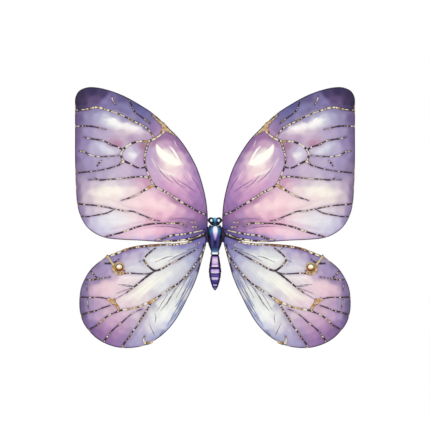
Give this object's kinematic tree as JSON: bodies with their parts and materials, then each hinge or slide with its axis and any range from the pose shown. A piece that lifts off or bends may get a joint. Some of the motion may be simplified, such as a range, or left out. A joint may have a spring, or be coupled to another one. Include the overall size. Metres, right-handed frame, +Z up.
{
  "type": "costume fairy wings",
  "caption": "Butterfly-shaped costume fairy wings with gilt veins, a jewelled body, folding wing hinges, a back pad and elastic arm straps.",
  "frame": {"origin": "middle of the back pad's flat rear face, which rests on the wearer's back", "axes": "+Z up along the body, +X along the wing span, +Y towards the wearer; the decorated side faces -Y"},
  "size_m": [0.7004, 0.1492, 0.6529],
  "materials": {
    "forewing_fabric": "printed satin, watercolour pattern",
    "hindwing_fabric": "printed satin, watercolour pattern",
    "gilt": "broken gold leaf",
    "wing_wire": "dark wire with rubbed gold",
    "pearl": "pearlescent",
    "head_shell": "metallic teal enamel",
    "thorax_shell": "metallic blue enamel",
    "eye": "polished",
    "abdomen": "metallic violet enamel",
    "waist_ring": "polished pale enamel",
    "leaf": "satin purple",
    "plate": "moulded, matt",
    "pad": "brushed knit over foam",
    "elastic": "woven elastic webbing",
    "steel": "bright zinc plated"
  },
  "bodies": {
    "harness": {"harness_plate": "plate", "back_pad": "pad", "body_keel": "steel", "thorax_screw_upper": "steel", "thorax_screw_lower": "steel", "head_shell": "head_shell", "thorax_shell": "thorax_shell", "waist_ring": "waist_ring", "abdomen_segment_1": "abdomen", "abdomen_segment_2": "abdomen", "abdomen_segment_3": "abdomen", "abdomen_segment_4": "abdomen", "abdomen_segment_5": "abdomen", "eye_left": "eye", "hinge_rod_left": "steel", "hinge_rod_cap_left": "steel", "arm_strap_left": "elastic", "strap_anchor_upper_left": "steel", "strap_anchor_lower_left": "steel", "eye_right": "eye", "hinge_rod_right": "steel", "hinge_rod_cap_right": "steel", "arm_strap_right": "elastic", "strap_anchor_upper_right": "steel", "strap_anchor_lower_right": "steel"},
    "forewing_left": {"forewing_leaf_left": "leaf", "forewing_frame_left": "wing_wire", "forewing_panel_left": "forewing_fabric", "forewing_upper_veins_left": "gilt", "forewing_lower_veins_left": "gilt", "forewing_upper_clip_left": "gilt", "forewing_lower_clip_left": "gilt"},
    "hindwing_left": {"hindwing_leaf_left": "leaf", "hindwing_frame_left": "wing_wire", "hindwing_panel_left": "hindwing_fabric", "hindwing_veins_left": "gilt", "hindwing_root_clip_left": "gilt", "bead_bezel_left": "gilt", "bead_pearl_left": "pearl"},
    "forewing_right": {"forewing_leaf_right": "leaf", "forewing_frame_right": "wing_wire", "forewing_panel_right": "forewing_fabric", "forewing_upper_veins_right": "gilt", "forewing_lower_veins_right": "gilt", "forewing_upper_clip_right": "gilt", "forewing_lower_clip_right": "gilt"},
    "hindwing_right": {"hindwing_leaf_right": "leaf", "hindwing_frame_right": "wing_wire", "hindwing_panel_right": "hindwing_fabric", "hindwing_veins_right": "gilt", "hindwing_root_clip_right": "gilt", "bead_bezel_right": "gilt", "bead_pearl_right": "pearl"}
  },
  "joints": [
    {"name": "forewing_left_fold", "type": "hinge", "parent": "harness", "child": "forewing_left", "pos_m": [-0.0125, -0.0297, 0], "axis": [0, 0, 1], "range_deg": [0, 85]},
    {"name": "forewing_right_fold", "type": "hinge", "parent": "harness", "child": "forewing_right", "pos_m": [0.0125, -0.0297, 0], "axis": [0, 0, -1], "range_deg": [0, 85]},
    {"name": "hindwing_left_fold", "type": "hinge", "parent": "harness", "child": "hindwing_left", "pos_m": [-0.0125, -0.0297, 0], "axis": [0, 0, 1], "range_deg": [0, 85]},
    {"name": "hindwing_right_fold", "type": "hinge", "parent": "harness", "child": "hindwing_right", "pos_m": [0.0125, -0.0297, 0], "axis": [0, 0, -1], "range_deg": [0, 85]}
  ]
}
